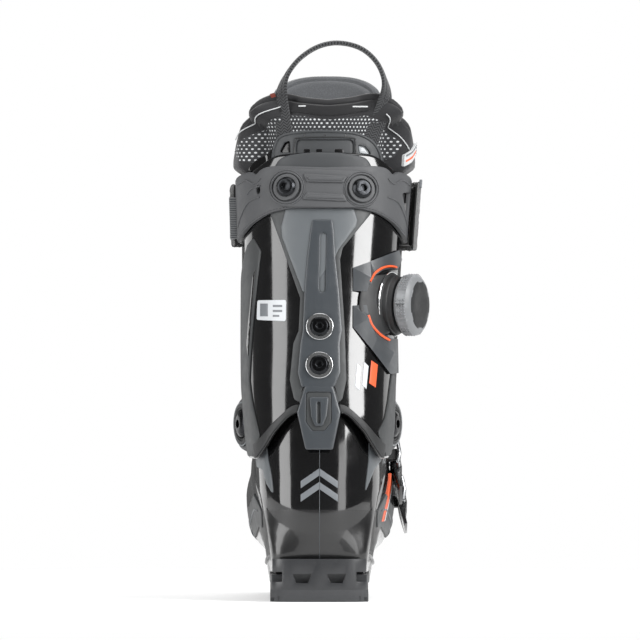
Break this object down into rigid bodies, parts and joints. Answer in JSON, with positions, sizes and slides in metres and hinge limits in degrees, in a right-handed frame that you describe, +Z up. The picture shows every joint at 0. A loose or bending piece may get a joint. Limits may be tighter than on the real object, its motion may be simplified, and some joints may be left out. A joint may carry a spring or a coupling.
{
  "type": "alpine ski boot",
  "caption": "Right alpine ski boot: hard plastic clog and hinged cuff with a dial-and-lace closure, lever buckles, power strap, soft liner and pull loop.",
  "frame": {"origin": "centre of the heel's rest face, on the floor", "axes": "+Z up, +Y towards the toe, +X towards the outer side of the right boot"},
  "size_m": [0.1381, 0.3069, 0.3933],
  "materials": {
    "shell_black": "polished, faintly smoky",
    "lug_grey": "satin",
    "sole_rubber": "matte",
    "steel": "drawn wire",
    "board": "moulded foam board",
    "footbed": "felt top",
    "liner_foam": "mesh and smooth fabric over foam",
    "dark_metal": "black coated",
    "lever_black": "black anodised",
    "alu": "satin",
    "grey_plastic": "fine satin grain",
    "dark_plastic": "satin",
    "bright": "polished",
    "grey_rubber": "soft matte",
    "webbing_grey": "woven webbing",
    "hook_black": "fuzzy loop pile",
    "webbing_black": "herringbone webbing",
    "tag_white": "woven tag, plain",
    "orange": "satin",
    "lace": "braided cord"
  },
  "bodies": {
    "shell": {"lower_shell": "shell_black", "heel_block": "lug_grey", "toe_block": "lug_grey", "heel_pad": "sole_rubber", "toe_pad": "sole_rubber", "sole_screws": "steel", "bootboard": "board", "footbed": "footbed", "liner_boot": "liner_foam", "pivot_bolts": "dark_metal", "instep_base": "lug_grey", "instep_ladder": "alu", "toe_base": "lug_grey", "toe_ladder": "alu"},
    "cuff": {"cuff": "shell_black", "canting_rings": "grey_plastic", "spine_panel": "grey_plastic", "spine_plate": "dark_plastic", "spine_washers": "bright", "spine_screws": "dark_metal", "spoiler": "grey_plastic", "strap_yoke": "grey_rubber", "yoke_washers": "bright", "yoke_screws": "dark_metal", "strap_inner": "webbing_grey", "strap_outer": "hook_black", "liner_cuff": "liner_foam", "liner_tongue": "liner_foam", "liner_tag": "tag_white", "pull_loop": "webbing_black", "dial_bracket": "grey_plastic", "dial_arcs": "orange", "dial_housing": "dark_plastic", "dial_ring": "bright", "lace": "lace", "lace_guide": "dark_plastic", "lace_tunnel": "dark_plastic"},
    "spool": {"dial_spool": "alu"},
    "knob": {"dial_knob": "grey_plastic", "knob_face": "dark_plastic"},
    "instep_lever": {"instep_lever": "lever_black"},
    "instep_bail": {"instep_bail": "steel"},
    "toe_lever": {"toe_lever": "lever_black"},
    "toe_bail": {"toe_bail": "steel"}
  },
  "joints": [
    {"name": "cuff_flex", "type": "hinge", "parent": "shell", "child": "cuff", "pos_m": [0, 0.038, 0.124], "axis": [-1, 0, 0], "range_deg": [0, 10], "stiffness_Nm_per_rad": 250},
    {"name": "dial_turn", "type": "hinge", "parent": "cuff", "child": "spool", "pos_m": [0.049, 0.0192, 0.208], "axis": [0.9205, -0.3907, 0], "continuous": true},
    {"name": "dial_release", "type": "slide", "parent": "spool", "child": "knob", "axis": [0.9205, -0.3907, 0], "range_m": [0, 0.003]},
    {"name": "instep_lever_hinge", "type": "hinge", "parent": "shell", "child": "instep_lever", "pos_m": [0.053, 0.1277, 0.09336], "axis": [0, -0.829, 0.5592], "range_deg": [0, 140]},
    {"name": "instep_bail_hinge", "type": "hinge", "parent": "instep_lever", "child": "instep_bail", "pos_m": [0.0563, 0.12266, 0.0859], "axis": [0, -0.829, 0.5592], "range_deg": [-168, 0]},
    {"name": "toe_lever_hinge", "type": "hinge", "parent": "shell", "child": "toe_lever", "pos_m": [0.0571, 0.19144, 0.07148], "axis": [0, -0.9511, 0.309], "range_deg": [0, 140]},
    {"name": "toe_bail_hinge", "type": "hinge", "parent": "toe_lever", "child": "toe_bail", "pos_m": [0.0604, 0.18866, 0.06292], "axis": [0, -0.9511, 0.309], "range_deg": [-168, 0]}
  ],
  "couplings": [
    {"joint": "instep_bail_hinge", "follows": "instep_lever_hinge", "ratio": -1.2},
    {"joint": "toe_bail_hinge", "follows": "toe_lever_hinge", "ratio": -1.2}
  ]
}
